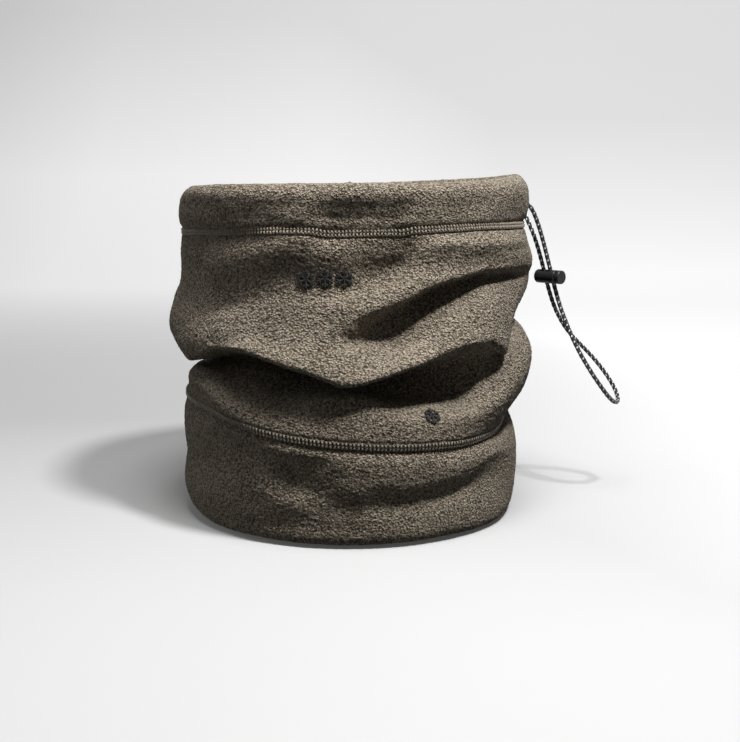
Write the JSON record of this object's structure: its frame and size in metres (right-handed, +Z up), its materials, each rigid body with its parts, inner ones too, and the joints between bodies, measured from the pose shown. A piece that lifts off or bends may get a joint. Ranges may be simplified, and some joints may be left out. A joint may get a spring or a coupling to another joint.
{
  "type": "neck gaiter",
  "caption": "Slumped tubular fleece neck gaiter with folded hem bands, coverstitched seams and an elastic drawcord loop with a barrel cord lock.",
  "frame": {"origin": "on the gaiter's axis, in the plane of the bottom hem that it stands on", "axes": "+Z up through the neck opening, -Y the front, +X the side with the cord"},
  "size_m": [0.2294, 0.1778, 0.16],
  "materials": {
    "fleece": "brushed micro-fleece, matt, pebbly nap",
    "seam_thread": "textured polyester thread, tonal",
    "embroidery_thread": "satin rayon thread",
    "shock_cord": "braided cover with light flecks",
    "lock_plastic": "fine matt moulding",
    "spring_steel": "bright spring wire",
    "label_tape": "blank woven tape"
  },
  "bodies": {
    "gaiter": {"top_band": "fleece", "main_panel": "fleece", "bottom_band": "fleece", "top_needle_threads": "seam_thread", "top_cover_thread": "seam_thread", "top_looper_thread": "seam_thread", "low_needle_threads": "seam_thread", "low_cover_thread": "seam_thread", "low_looper_thread": "seam_thread", "top_band_join_thread": "seam_thread", "main_panel_join_thread": "seam_thread", "bottom_band_join_thread": "seam_thread", "eyelet_front": "seam_thread", "eyelet_rear": "seam_thread", "drawcord_in_channel": "shock_cord", "drawcord_end_tack": "embroidery_thread", "care_label": "label_tape", "upper_embroidery": "embroidery_thread", "lower_embroidery": "embroidery_thread"},
    "cord_loop": {"drawcord_loop": "shock_cord"},
    "cord_lock": {"cord_lock_barrel": "lock_plastic", "cord_lock_spring": "spring_steel"},
    "lock_button": {"cord_lock_plunger": "lock_plastic"}
  },
  "joints": [
    {"name": "cord_swing", "type": "hinge", "parent": "gaiter", "child": "cord_loop", "pos_m": [0.08465, 0.01645, 0.151], "axis": [0.1897, -0.9813, 0.033], "range_deg": [-5, 60], "stiffness_Nm_per_rad": 0.02, "springref_deg": 0.86},
    {"name": "lock_slide", "type": "slide", "parent": "cord_loop", "child": "cord_lock", "axis": [-0.2612, -0.0554, 0.9637], "range_m": [-0.005, 0.01]},
    {"name": "button_press", "type": "slide", "parent": "cord_lock", "child": "lock_button", "axis": [-0.6822, 0.7312, 0], "range_m": [0, 0.0012], "stiffness_N_per_m": 400, "springref_m": -0.0005, "deforming": ["cord_lock_spring"]}
  ]
}
